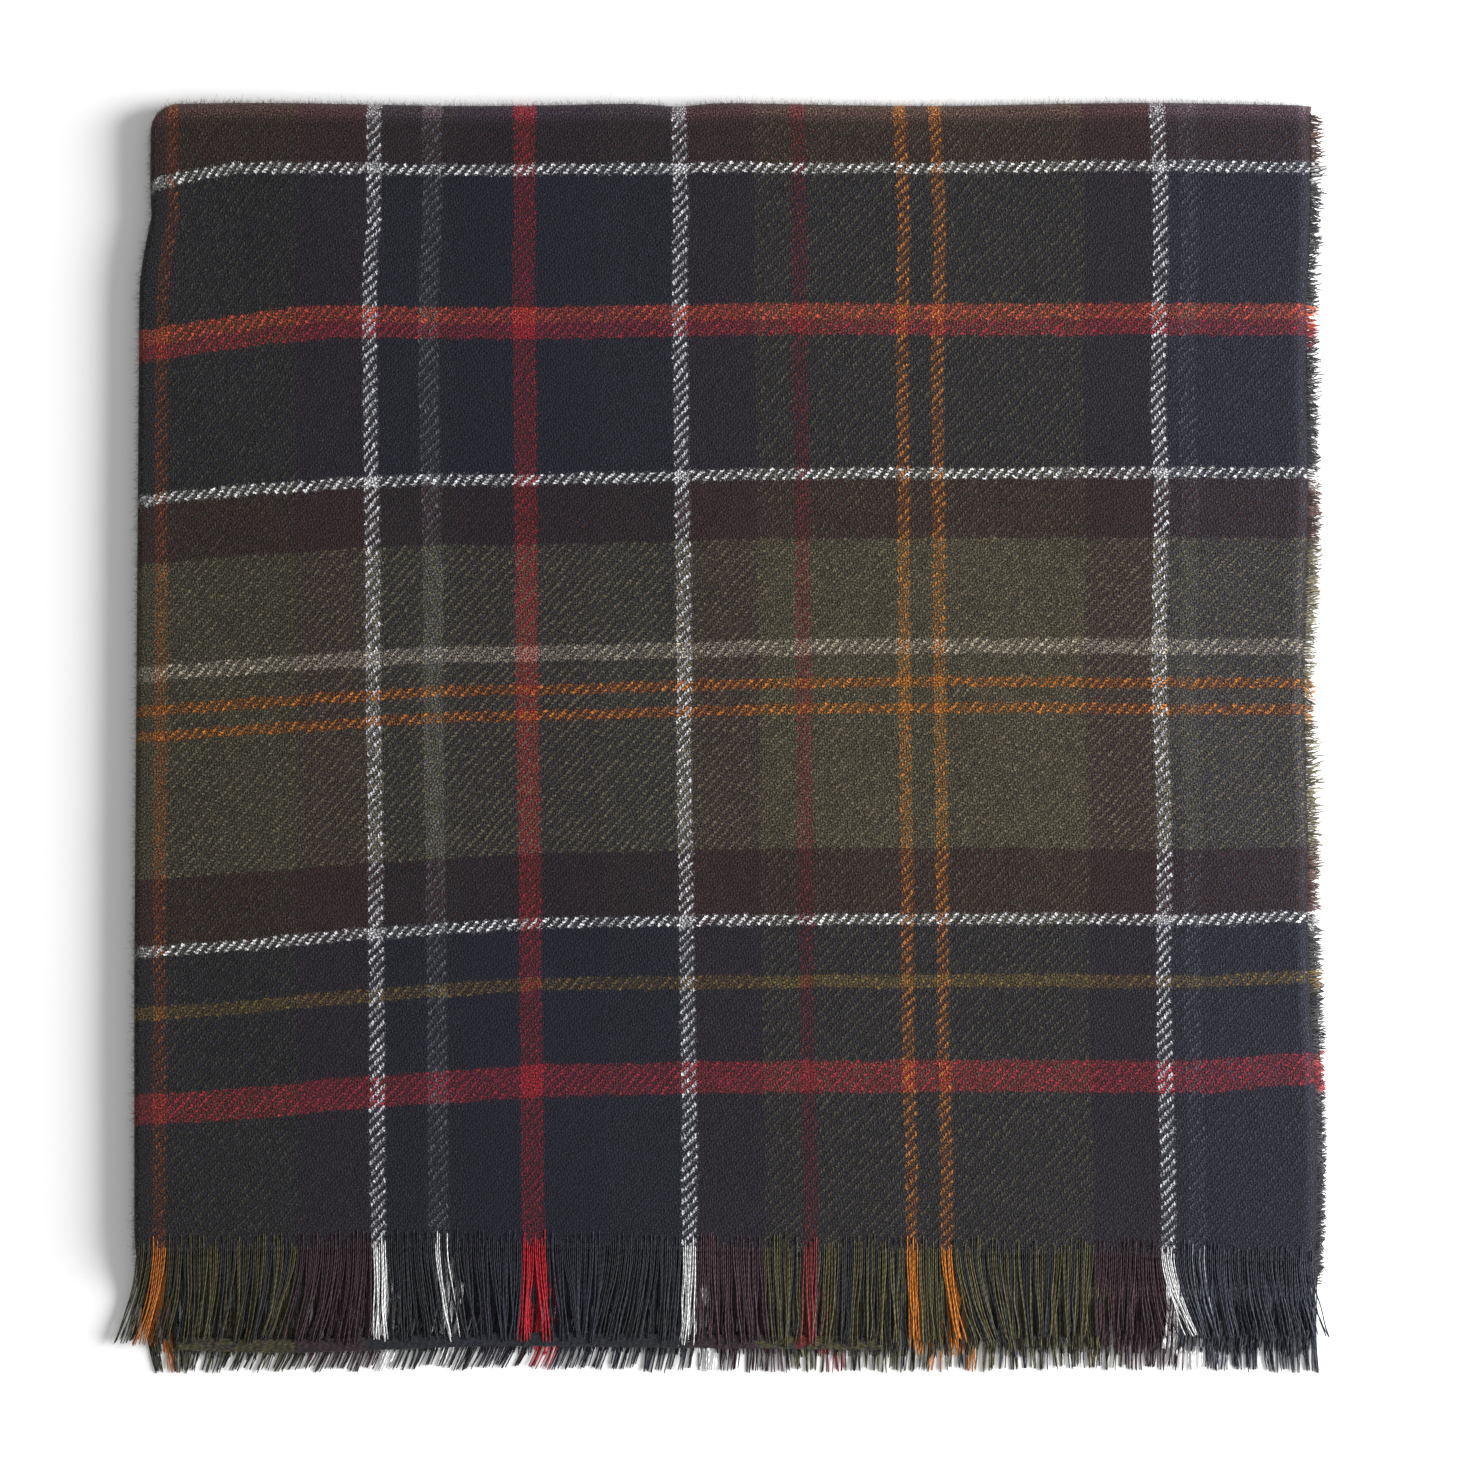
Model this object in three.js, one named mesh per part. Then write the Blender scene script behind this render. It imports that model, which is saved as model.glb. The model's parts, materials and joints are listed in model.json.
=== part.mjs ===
// A woven throw blanket, folded in half lengthwise and then in half crosswise.
//
// Millimetres, +Z up. The throw lies flat on z = 0, centred on the origin. The lengthwise fold is
// at -X, the crosswise fold at +Y, the long warp fringe at -Y and the cut side fringe at +X.
// Four layers of cloth lie one above the other. The crosswise fold is split at mid height, so that
// the two upper layers can turn over it, about an axis along X, until they lie flat beyond it.

import * as THREE from 'three';

// The folded cloth.
const foldedWidth = 706; // from the outside of the lengthwise fold to the cut side edge
const wovenLength = 686; // from the outside of the crosswise fold to the top panel's last pick
const layerThickness = 3.6;
const layerGap = 0.4; // air between one layer and the next
const halfStagger = 10; // how far the lower half's ends reach past the upper half's

// The long fringe of warp ends, in clumps.
const endFringe = { length: 56, thickness: 2.4, clump: 28, notch: 14, gap: 1.6 };

// The short fringe along the cut side edge.
const sideFringe = { length: 7, thickness: 1.6, clump: 28, notch: 3, gap: 1.2 };

const tipVariation = 0.06; // how uneven the clumps' lengths are, as a share of their length
const joinGap = 0.3; // between two solids that meet
const arcSteps = 10; // facets in each quarter of a bend

// Worked out from the sizes above.
const layerPitch = layerThickness + layerGap;
const midHeight = 2 * layerPitch - layerGap / 2; // between the two halves
const layerBase = (layer) => (layer - 1) * layerPitch;

// Each half of the crosswise fold is a quarter bend round a line that lies half a gap off the mid
// height. The inner one closes on itself, and the outer one goes round it.
const innerBend = { inside: 0, outside: midHeight - layerPitch - joinGap / 2 };
const outerBend = { inside: innerBend.outside + layerGap, outside: midHeight - joinGap / 2 };
const sideBendRadius = layerThickness + layerGap / 2;

// The inner layers go round the crosswise fold on a shorter path, so their ends reach further.
const nestedReach = (Math.PI / 2) * layerPitch;
const reach = { 1: halfStagger, 2: halfStagger + nestedReach, 3: nestedReach, 4: 0 };

// The bounding box is centred: it runs from the lengthwise fold to the side fringe's tips in X,
// and from the furthest fringe tips to the crosswise fold in Y.
const leftEdge = -(foldedWidth + sideFringe.length) / 2;
const cutEdge = leftEdge + foldedWidth;
const foldEdge = (wovenLength + reach[2] + endFringe.length) / 2;
const sideBendCentre = leftEdge + sideBendRadius;
const topBendCentre = foldEdge - outerBend.outside;
const wovenEnd = (layer) => foldEdge - wovenLength - reach[layer];

const shades = { panel: 0x2b2c30, fold: 0x2a2622, endFringe: 0x34332a, sideFringe: 0x3a2a26 };

function piece(name, geometry, shade) {
  const cloth = new THREE.MeshStandardMaterial({ color: shade, roughness: 0.95, metalness: 0 });
  const mesh = new THREE.Mesh(geometry, cloth);
  mesh.name = name;
  return mesh;
}

// A flat panel of cloth, between the two folds, the cut edge and its woven end.
function panel(name, layer) {
  const left = sideBendCentre + joinGap / 2;
  const right = cutEdge - joinGap / 2;
  const near = wovenEnd(layer) + joinGap / 2;
  const far = topBendCentre - joinGap / 2;
  const geometry = new THREE.BoxGeometry(right - left, far - near, layerThickness);
  const mesh = piece(name, geometry, shades.panel);
  mesh.position.set((left + right) / 2, (near + far) / 2, layerBase(layer) + layerThickness / 2);
  return mesh;
}

// A sector or an arc band about the shape's own origin.
function bendShape(bend, from, to) {
  const shape = new THREE.Shape();
  shape.absarc(0, 0, bend.outside, from, to, false);
  if (bend.inside > 0) {
    shape.absarc(0, 0, bend.inside, to, from, true);
  } else if (to - from < Math.PI) {
    shape.lineTo(0, 0);
  }
  shape.closePath();
  return shape;
}

// A bend run out to a length, with the shape's x and y laid along two given directions.
function bendAlong(bend, from, to, length, xTo, yTo) {
  const options = { depth: length, bevelEnabled: false, curveSegments: arcSteps };
  const geometry = new THREE.ExtrudeGeometry(bendShape(bend, from, to), options);
  const runTo = new THREE.Vector3().crossVectors(xTo, yTo);
  geometry.applyMatrix4(new THREE.Matrix4().makeBasis(xTo, yTo, runTo));
  return geometry;
}

const alongX = new THREE.Vector3(1, 0, 0);
const alongY = new THREE.Vector3(0, 1, 0);
const alongZ = new THREE.Vector3(0, 0, 1);

// The lengthwise fold of one pair of layers: a half round facing -X. It starts at the crosswise
// fold and ends with the shorter of its two panels, which is the pair's outer one.
function sideFold(name, lowerLayer, outerLayer) {
  const near = wovenEnd(outerLayer) + joinGap / 2;
  const far = topBendCentre - joinGap / 2;
  const bend = { inside: 0, outside: sideBendRadius };
  const geometry = bendAlong(bend, Math.PI / 2, 1.5 * Math.PI, far - near, alongX, alongZ);
  const mesh = piece(name, geometry, shades.fold);
  mesh.position.set(sideBendCentre, far, layerBase(lowerLayer) + sideBendRadius);
  return mesh;
}

// One half of the crosswise fold's height, above or below the mid height.
function crosswiseFold(name, bend, upper) {
  const left = sideBendCentre + joinGap / 2;
  const right = cutEdge - joinGap / 2;
  const from = upper ? 0 : -Math.PI / 2;
  const geometry = bendAlong(bend, from, from + Math.PI / 2, right - left, alongY, alongZ);
  const mesh = piece(name, geometry, shades.fold);
  const offMid = upper ? joinGap / 2 : -joinGap / 2;
  mesh.position.set(left, topBendCentre, midHeight + offMid);
  return mesh;
}

// A section of (x, radius) points, anticlockwise, turned about the X axis between two angles that
// are measured from +Y towards +Z.
function turned(section, from, to, steps) {
  const count = section.length;
  const positions = [];
  for (let step = 0; step <= steps; step += 1) {
    const angle = from + ((to - from) * step) / steps;
    for (const point of section) {
      positions.push(point.x, point.y * Math.cos(angle), point.y * Math.sin(angle));
    }
  }
  const faces = [];
  for (let step = 0; step < steps; step += 1) {
    for (let i = 0; i < count; i += 1) {
      const a = step * count + i;
      const b = step * count + ((i + 1) % count);
      faces.push(a, b, b + count, a, b + count, a + count);
    }
  }
  const last = steps * count;
  for (const [a, b, c] of THREE.ShapeUtils.triangulateShape(section, [])) {
    faces.push(a, c, b, last + a, last + b, last + c);
  }
  const geometry = new THREE.BufferGeometry();
  geometry.setAttribute('position', new THREE.Float32BufferAttribute(positions, 3));
  geometry.setIndex(faces);
  geometry.computeVertexNormals();
  return geometry;
}

// The lengthwise fold carried round one half of the crosswise fold's height.
function cornerFold(name, upper) {
  const radius = sideBendRadius - joinGap / 2;
  const middle = outerBend.outside - radius;
  const section = [];
  for (let i = 0; i <= 2 * arcSteps; i += 1) {
    const angle = Math.PI / 2 + (Math.PI * i) / (2 * arcSteps);
    section.push(new THREE.Vector2(radius * Math.cos(angle), middle + radius * Math.sin(angle)));
  }
  const from = upper ? 0 : -Math.PI / 2;
  const mesh = piece(name, turned(section, from, from + Math.PI / 2, arcSteps), shades.fold);
  const offMid = upper ? joinGap / 2 : -joinGap / 2;
  mesh.position.set(sideBendCentre - joinGap / 2, topBendCentre, midHeight + offMid);
  return mesh;
}

// A row of tapering clumps that hang from a straight root along +X and point to -Y.
function comb(fringe, width, phase) {
  const clumps = Math.round(width / fringe.clump);
  const spacing = width / clumps;
  const outline = [new THREE.Vector2(0, 0)];
  for (let i = 0; i < clumps; i += 1) {
    const left = i * spacing;
    const uneven = tipVariation * (0.5 + 0.5 * Math.sin(2.4 * i + phase));
    const tip = -fringe.length * (1 - uneven);
    outline.push(new THREE.Vector2(left + (i > 0 ? fringe.gap / 2 : 0), -fringe.notch));
    outline.push(new THREE.Vector2(left + 0.2 * spacing, tip));
    outline.push(new THREE.Vector2(left + 0.8 * spacing, tip));
    const rightGap = i < clumps - 1 ? fringe.gap / 2 : 0;
    outline.push(new THREE.Vector2(left + spacing - rightGap, -fringe.notch));
  }
  outline.push(new THREE.Vector2(width, 0));
  const options = { depth: fringe.thickness, bevelEnabled: false };
  return new THREE.ExtrudeGeometry(new THREE.Shape(outline), options);
}

// The long fringe below one panel's woven end.
function endFringePiece(name, layer) {
  const geometry = comb(endFringe, cutEdge - leftEdge, layer);
  const mesh = piece(name, geometry, shades.endFringe);
  mesh.position.set(leftEdge, wovenEnd(layer) - joinGap / 2, layerBase(layer));
  return mesh;
}

// The short fringe beside one panel's cut edge.
function sideFringePiece(name, layer) {
  const geometry = comb(sideFringe, topBendCentre - wovenEnd(layer) - joinGap, layer);
  const mesh = piece(name, geometry, shades.sideFringe);
  mesh.rotation.z = Math.PI / 2; // the clumps now point to +X and the root runs along +Y
  const base = layerBase(layer) + (layerThickness - sideFringe.thickness) / 2;
  mesh.position.set(cutEdge, wovenEnd(layer) + joinGap / 2, base);
  return mesh;
}

const lowerHalf = new THREE.Group();
lowerHalf.add(
  panel('panel_1_bottom', 1),
  panel('panel_2_lower_inner', 2),
  sideFold('side_fold_lower', 1, 1),
  crosswiseFold('outer_fold_lower', outerBend, false),
  crosswiseFold('inner_fold_lower', innerBend, false),
  cornerFold('corner_fold_lower', false),
);

const upperHalf = new THREE.Group();
upperHalf.add(
  panel('panel_3_upper_inner', 3),
  panel('panel_4_top', 4),
  sideFold('side_fold_upper', 3, 4),
  crosswiseFold('outer_fold_upper', outerBend, true),
  crosswiseFold('inner_fold_upper', innerBend, true),
  cornerFold('corner_fold_upper', true),
);

for (let layer = 1; layer <= 4; layer += 1) {
  const half = layer <= 2 ? lowerHalf : upperHalf;
  half.add(endFringePiece(`end_fringe_${layer}`, layer));
  half.add(sideFringePiece(`side_fringe_${layer}`, layer));
}

const throwBlanket = new THREE.Group();
throwBlanket.add(lowerHalf, upperHalf);

export default throwBlanket;
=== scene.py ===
# A woven tartan throw, folded in quarters, lying on a pale floor.
import json
import math

import bpy
import numpy as np
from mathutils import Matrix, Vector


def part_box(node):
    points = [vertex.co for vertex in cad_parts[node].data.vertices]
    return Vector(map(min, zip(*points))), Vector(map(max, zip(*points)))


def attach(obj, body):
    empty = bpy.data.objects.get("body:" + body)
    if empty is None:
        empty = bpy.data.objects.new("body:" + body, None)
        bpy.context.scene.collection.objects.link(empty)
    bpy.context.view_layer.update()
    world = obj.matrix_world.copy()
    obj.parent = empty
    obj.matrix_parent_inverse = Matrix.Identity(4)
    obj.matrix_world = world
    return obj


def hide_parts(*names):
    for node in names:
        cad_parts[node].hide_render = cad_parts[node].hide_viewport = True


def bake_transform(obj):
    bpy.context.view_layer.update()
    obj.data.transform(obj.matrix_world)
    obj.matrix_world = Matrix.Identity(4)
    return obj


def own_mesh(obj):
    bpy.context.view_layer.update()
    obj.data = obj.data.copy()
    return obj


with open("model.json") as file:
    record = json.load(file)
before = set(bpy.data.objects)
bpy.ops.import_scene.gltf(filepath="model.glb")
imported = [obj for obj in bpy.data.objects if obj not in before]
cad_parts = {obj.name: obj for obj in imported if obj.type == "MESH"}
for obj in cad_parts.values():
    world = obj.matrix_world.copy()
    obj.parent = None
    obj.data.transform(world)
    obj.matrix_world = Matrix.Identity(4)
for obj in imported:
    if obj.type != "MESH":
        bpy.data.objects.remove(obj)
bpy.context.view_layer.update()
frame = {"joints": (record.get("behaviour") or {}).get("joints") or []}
mm = 0.001

# the folded stack, read from the frame
layerMiddle = {k: sum(c[2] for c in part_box(name)) / 2 for k, name in enumerate(
    ("panel_1_bottom", "panel_2_lower_inner", "panel_3_upper_inner", "panel_4_top"), start=1)}
endFringeLow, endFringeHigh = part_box("end_fringe_4")
sideFringeLow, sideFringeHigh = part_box("side_fringe_4")

stack = {
    "leftEdge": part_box("side_fold_upper")[0][0],
    "cutEdge": sideFringeLow[0],
    "foldEdge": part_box("outer_fold_upper")[1][1],
    "halfWay": frame["joints"][0]["pos_m"][2],
    "topEnd": endFringeHigh[1],
    "bottomEnd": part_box("end_fringe_1")[1][1],
    "height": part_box("panel_4_top")[1][2],
    "cloth": 3.2 * mm,            # one brushed layer
    "edgeThin": 0.25,             # how thin the cloth gets where its last pick lets go
    "thinOver": 0.012,            # m
    "cutThinner": 0.3,            # how much thinner it is at the cut edge
    "cutOver": 0.006,
}
pitch = layerMiddle[2] - layerMiddle[1]
sideRadius = pitch / 2            # the lengthwise fold, at the middle of the cloth
topRadius = stack["halfWay"] - (layerMiddle[1] + layerMiddle[2]) / 2
sideCentre = stack["leftEdge"] + sideRadius + stack["cloth"] / 2
topCentre = stack["foldEdge"] - topRadius - sideRadius - stack["cloth"] / 2


def eye(red, green, blue, last=1.0):
    # a colour as a screen shows it, turned into light
    def one(level):
        level = level / 255
        return level / 12.92 if level <= 0.04045 else ((level + 0.055) / 1.055) ** 2.4
    return (one(red), one(green), one(blue), last)


yarn = {
    "pitch": 1.5 * mm,            # warp ends across
    "pick": 1.56 * mm,            # weft picks along
    "loose": 1.2 * mm,            # between the strands of an end fringe
    "strand": 0.46 * mm,          # radius of a free yarn
}

# A yarn in the cloth: its colour, and how much of its weave the brushed fibres veil.
warpShades = {
    "moss": eye(55, 53, 42, 0.45),
    "olive": eye(71, 66, 52, 0.45),
    "tawny": eye(122, 68, 34, 0.50),
    "orange": eye(168, 106, 42, 0.40),
    "maroon": eye(52, 37, 43, 0.60),
    "white": eye(184, 184, 190, 0.12),
    "bottle": eye(31, 36, 47, 0.60),
    "grey": eye(86, 88, 96, 0.40),
    "navy": eye(27, 28, 45, 0.70),
    "red": eye(142, 26, 42, 0.80),
    "rust": eye(104, 42, 42, 0.60),
    "slate": eye(72, 75, 86, 0.50),
    "charcoal": eye(51, 53, 67, 0.60),
}
weftShades = {
    "maroon": eye(55, 31, 32, 0.60),
    "white": eye(214, 214, 216, 0.12),
    "navy": eye(28, 29, 45, 0.70),
    "tangerine": eye(204, 74, 50, 0.75),
    "crimson": eye(162, 32, 48, 0.80),
    "olive": eye(98, 89, 67, 0.50),
    "grey": eye(182, 170, 148, 0.85),
    "orange": eye(190, 112, 34, 0.40),
    "mustard": eye(112, 90, 44, 0.50),
}
# The same yarns hanging free, where nothing veils them.
freeShades = {
    "olive": eye(72, 68, 46),
    "moss": eye(70, 66, 44),
    "tawny": eye(170, 98, 38),
    "orange": eye(194, 118, 44),
    "maroon": eye(56, 40, 45),
    "white": eye(236, 236, 236),
    "bottle": eye(38, 40, 45),
    "grey": eye(150, 150, 148),
    "navy": eye(38, 39, 50),
    "red": eye(172, 26, 42),
    "tangerine": eye(180, 70, 36),
    "crimson": eye(150, 26, 42),
    "rust": eye(104, 42, 42),
    "slate": eye(120, 124, 134),
    "charcoal": eye(46, 48, 57),
    "mustard": eye(112, 90, 44),
}
freeWeftShades = {**freeShades, "olive": eye(108, 102, 80), "grey": eye(170, 166, 154),
                  "orange": eye(196, 128, 62), "maroon": eye(74, 44, 44)}

# Threads of each colour, counted from the lengthwise fold to the cut edge.
warpSett = [
    ("moss", 7), ("tawny", 5), ("moss", 52), ("maroon", 28), ("white", 6), ("bottle", 17),
    ("grey", 8), ("bottle", 6), ("navy", 23), ("red", 9), ("navy", 25), ("bottle", 30),
    ("white", 6), ("maroon", 27), ("olive", 15), ("rust", 6), ("olive", 35), ("orange", 5),
    ("olive", 9), ("orange", 5), ("olive", 56), ("maroon", 27), ("white", 6), ("charcoal", 5),
    ("slate", 7), ("charcoal", 60),
]
# Picks of each colour, counted from the crosswise fold to the fringe.
weftSett = [
    ("maroon", 23), ("white", 4), ("navy", 50), ("tangerine", 6), ("crimson", 6), ("navy", 51),
    ("white", 4), ("maroon", 23), ("olive", 39), ("grey", 6), ("olive", 9), ("orange", 4),
    ("olive", 6), ("orange", 4), ("olive", 52), ("maroon", 25), ("white", 4), ("navy", 19),
    ("mustard", 5), ("navy", 28), ("crimson", 12), ("navy", 74),
]


def yarnAt(sett, index):
    at = 0
    for name, count in sett:
        at += count
        if index < at:
            return name
    return sett[-1][0]


# the shape of the fold
drape = {
    "length": 0.69,               # from the crosswise fold to the last pick, m
    "topInset": 6.1 * mm,         # the lengthwise fold stands back near the crosswise fold
    "lowInset": 3.9 * mm,         # and a little less all the way down
    "pinch": 1.2 * mm,            # where the one goes over into the other
    "insetReach": 0.150,          # how far across that is felt, m
    "cutInset": 0.9 * mm,         # the cut edge stands back too, most of all halfway down
    "cutHollow": 2.0 * mm,
    "cutFlare": 4.4 * mm,         # and flares out by the fringe
    "cutWave": 1.0 * mm,
    "slip": 2.5 * mm,             # how far the hidden layers show past the cut edge
    "slipWave": 2.0 * mm,
    "slipFlare": 4 * mm,
    "cornerDrop": 15 * mm,        # the rounded corner where the two folds meet
    "cornerReach": 18 * mm,
    "foldWave": 0.9 * mm,         # along the crosswise fold
    "dent": 2.2 * mm,             # the one dent in it
    "dentAt": 0.325,
    "endSlant": (2.5 * mm, 7.0 * mm),   # how far down the last picks slip, and how much more at the right
    "endWave": 1.2 * mm,
    "ripple": 1.3 * mm,           # how far the upper layers sink between their high places
    "flatter": (0.07, 0.05),      # and lie flatter by the fringe and by the cut edge
}


def smooth(low, high, value):
    t = np.clip((value - low) / (high - low), 0, 1)
    return t * t * (3 - 2 * t)


def hump(value, middle, width):
    return np.exp(-((value - middle) / width) ** 2)


def fading(value, reach):
    return np.exp(-np.clip(value, 0, 1) / reach)


def waves(x, y, seed, shortest, longest, count=6):
    # a smooth random field between -1 and 1
    rng = np.random.default_rng(seed)
    total = 0
    for _ in range(count):
        turn = rng.uniform(0, 2 * math.pi)
        step = 2 * math.pi / rng.uniform(shortest, longest)
        total = total + np.sin(step * (x * math.cos(turn) + y * math.sin(turn)) + rng.uniform(0, 6.3))
    return total / count * 1.6


def leftInset(down):
    return (drape["lowInset"] * np.clip(1 - down / 0.52, 0, 1)
            + drape["topInset"] * (1 - smooth(0.060, 0.115, down))
            + drape["pinch"] * hump(down, 0.067, 0.008))


def rightDrift(down):
    # how far the cut edge wanders to the right on its way to the fringe
    return (-drape["cutInset"] - drape["cutHollow"] * hump(down, 0.35, 0.15)
            + drape["cutFlare"] * smooth(0.45, 0.60, down))


def settle(x, y, z, slack):
    # takes points of the neatly folded stack to where the soft cloth lies
    down = stack["foldEdge"] - y
    along = x - stack["leftEdge"]
    byFringe = smooth(0.45, drape["length"], down)
    moved = x + leftInset(down) * np.exp(-along / drape["insetReach"])
    right = smooth(0.3, 0.7, along)
    moved = moved + right * (rightDrift(down) + drape["cutWave"] * np.sin(down / 0.031))
    moved = moved + right * slack * (drape["slip"] + drape["slipWave"] * np.sin(down / 0.047 + 3 * slack)
                                     + drape["slipFlare"] * byFringe)
    # the crosswise fold: its rounded corner, its waves and its dent
    corner = 1 - np.sqrt(1 - 0.97 * np.clip(1 - along / drape["cornerReach"], 0, 1) ** 2)
    dropped = y - drape["cornerDrop"] * corner * fading(down, 0.022)
    dropped = dropped + drape["foldWave"] * np.sin(along / 0.043) * fading(down, 0.15)
    dropped = dropped - drape["dent"] * hump(along, drape["dentAt"], 0.016) * fading(down, 0.03)
    low, more = drape["endSlant"]
    slant = low + more * smooth(0.35, 0.70, along)
    dropped = dropped - (slant + drape["endWave"] * np.sin(along / 0.061 + 1.3)) * byFringe
    over = np.clip(z - stack["halfWay"], 0, None)
    sink = 0.5 - 0.5 * waves(x, y, 11, 0.09, 0.26)
    sink = np.clip(sink, 0, 1) * smooth(0.0, 0.07, down) * smooth(0.0, 0.05, along)
    share = drape["ripple"] * sink / (stack["height"] - stack["halfWay"])
    endFlatter, cutFlatter = drape["flatter"]
    edge = endFlatter * smooth(0.60, 0.69, down) + cutFlatter * smooth(0.64, 0.70, along)
    return moved, dropped, z - over * (share + edge)


def lay(a, b, n):
    # a runs across the cloth from the lengthwise fold, b along it from the crosswise fold, and n
    # out of its middle
    turn = np.clip(a / sideRadius, -math.pi / 2, math.pi / 2)
    past = np.clip(np.abs(a) - sideRadius * math.pi / 2, 0, None)
    x = sideCentre - (sideRadius + n) * np.cos(turn) + past
    out = (sideRadius + n) * np.sin(turn)
    radius = topRadius + sideRadius * np.sin(turn)
    lift = np.clip(b / radius, -math.pi / 2, math.pi / 2)
    run = np.clip(np.abs(b) - radius * math.pi / 2, 0, None)
    y = topCentre + (topRadius + out) * np.cos(lift) - run
    z = stack["halfWay"] + (topRadius + out) * np.sin(lift)
    slack = np.where(b < 0, np.where(a > 0, 1.0, 0.6), np.where(a > 0, 0.0, 0.35))
    return np.stack(settle(x, y, z, slack), axis=-1)


sideArc = sideRadius * math.pi / 2
outerArc = (topRadius + sideRadius) * math.pi / 2
clothReach = {
    "across": stack["cutEdge"] - sideCentre + sideArc,
    "up": topCentre - stack["topEnd"] + outerArc,
    "under": topCentre - stack["bottomEnd"] + outerArc,
}


weaving = {
    "lean": (-3.0 * mm, 8.4 * mm),      # of the warp, at the crosswise fold and over the woven length
    "leanOver": 0.686,
    "bulge": 2.8 * mm,            # the warp of the right half bulges right below the crosswise fold
    "hollow": 1.8 * mm,           # and once left, in the left half
    "warpWave": 0.5 * mm,
    "bow": 17.5 * mm,             # how far the weft droops beside the lengthwise fold
    "swell": 5.2 * mm,            # and left of the middle of the panel
    "lift": 3.5 * mm,             # and rises again: at the cut edge
    "lateLift": 2.0 * mm,         # in the right half, near the fringe
    "cornerLift": 3.0 * mm,       # and in the lower right corner
    "lowDroop": 1.8 * mm,         # the lower left droops once more
    "weftWave": 1.1 * mm,
}


def threads(a, b):
    # which warp end and which pick cross at a point; the weft bows down beside the lengthwise fold
    across, along = np.abs(a), np.abs(b)
    down = along - outerArc + topRadius + sideRadius + stack["cloth"] / 2
    start, more = weaving["lean"]
    shift = (start + more * down / weaving["leanOver"]) * (1 - np.exp(-across / 0.09))
    shift = shift - smooth(0.3, 0.7, across) * rightDrift(down)
    shift = shift + weaving["bulge"] * smooth(0.38, 0.50, across) * hump(down, 0.095, 0.090)
    shift = shift - weaving["hollow"] * hump(across, 0.17, 0.05) * hump(down, 0.15, 0.08)
    shift = shift + weaving["warpWave"] * waves(across, along, 5, 0.12, 0.4)
    down = np.clip(down, 0, 1)
    # the bow reaches further across the lower it is, and eases off by the fringe
    reach = np.minimum(0.030 + 0.65 * down, 0.130 + 0.204 * down)
    late = 1 - 0.25 * smooth(0.56, 0.69, down)
    bow = weaving["bow"] * (1 - np.exp(-down / 0.060)) * late
    droop = bow * np.clip(1 - across / reach, 0, 1) ** 1.2
    swell = weaving["swell"] * smooth(0.03, 0.25, down) * (1 - 0.45 * smooth(0.40, 0.60, down))
    droop = droop + swell * hump(across, 0.20, 0.13)
    droop = droop - weaving["lift"] * smooth(0.64, 0.70, across) * smooth(0.35, 0.60, down)
    droop = droop - weaving["lateLift"] * smooth(0.25, 0.40, across) * smooth(0.50, 0.58, down)
    droop = droop - weaving["cornerLift"] * smooth(0.61, 0.69, across) * smooth(0.50, 0.58, down)
    droop = droop + weaving["lowDroop"] * smooth(0.42, 0.50, down) * (1 - smooth(0.07, 0.12, across))
    droop = droop + weaving["weftWave"] * waves(across, along, 8, 0.2, 0.6)
    end = (across - shift) / yarn["pitch"]
    pick = (down - droop) / yarn["pick"]
    return np.stack([end * np.where(a < 0, -1, 1), pick * np.where(b < 0, -1, 1)], axis=-1)


def meshFrom(name, points, faces, smoothFaces=True):
    mesh = bpy.data.meshes.new(name)
    mesh.from_pydata(points.reshape(-1, 3).tolist(), [], faces)
    mesh.polygons.foreach_set("use_smooth", [smoothFaces] * len(mesh.polygons))
    mesh.update()
    made = bpy.data.objects.new(name, mesh)
    bpy.context.scene.collection.objects.link(made)
    return made


def addMap(made, name, values):
    # values holds one (u, v) for each vertex
    layer = made.data.uv_layers.new(name=name)
    corner = np.empty(len(made.data.loops), dtype=np.int32)
    made.data.loops.foreach_get("vertex_index", corner)
    layer.data.foreach_set("uv", values.reshape(-1, 2)[corner].astype(np.float32).ravel())


def graded(reach, first, growth, largest):
    # steps that widen away from a fold
    steps = [0.0]
    step = first
    while steps[-1] < reach:
        steps.append(steps[-1] + step)
        step = min(step * growth, largest)
    scale = reach / steps[-1]
    return np.array(steps) * scale


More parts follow.
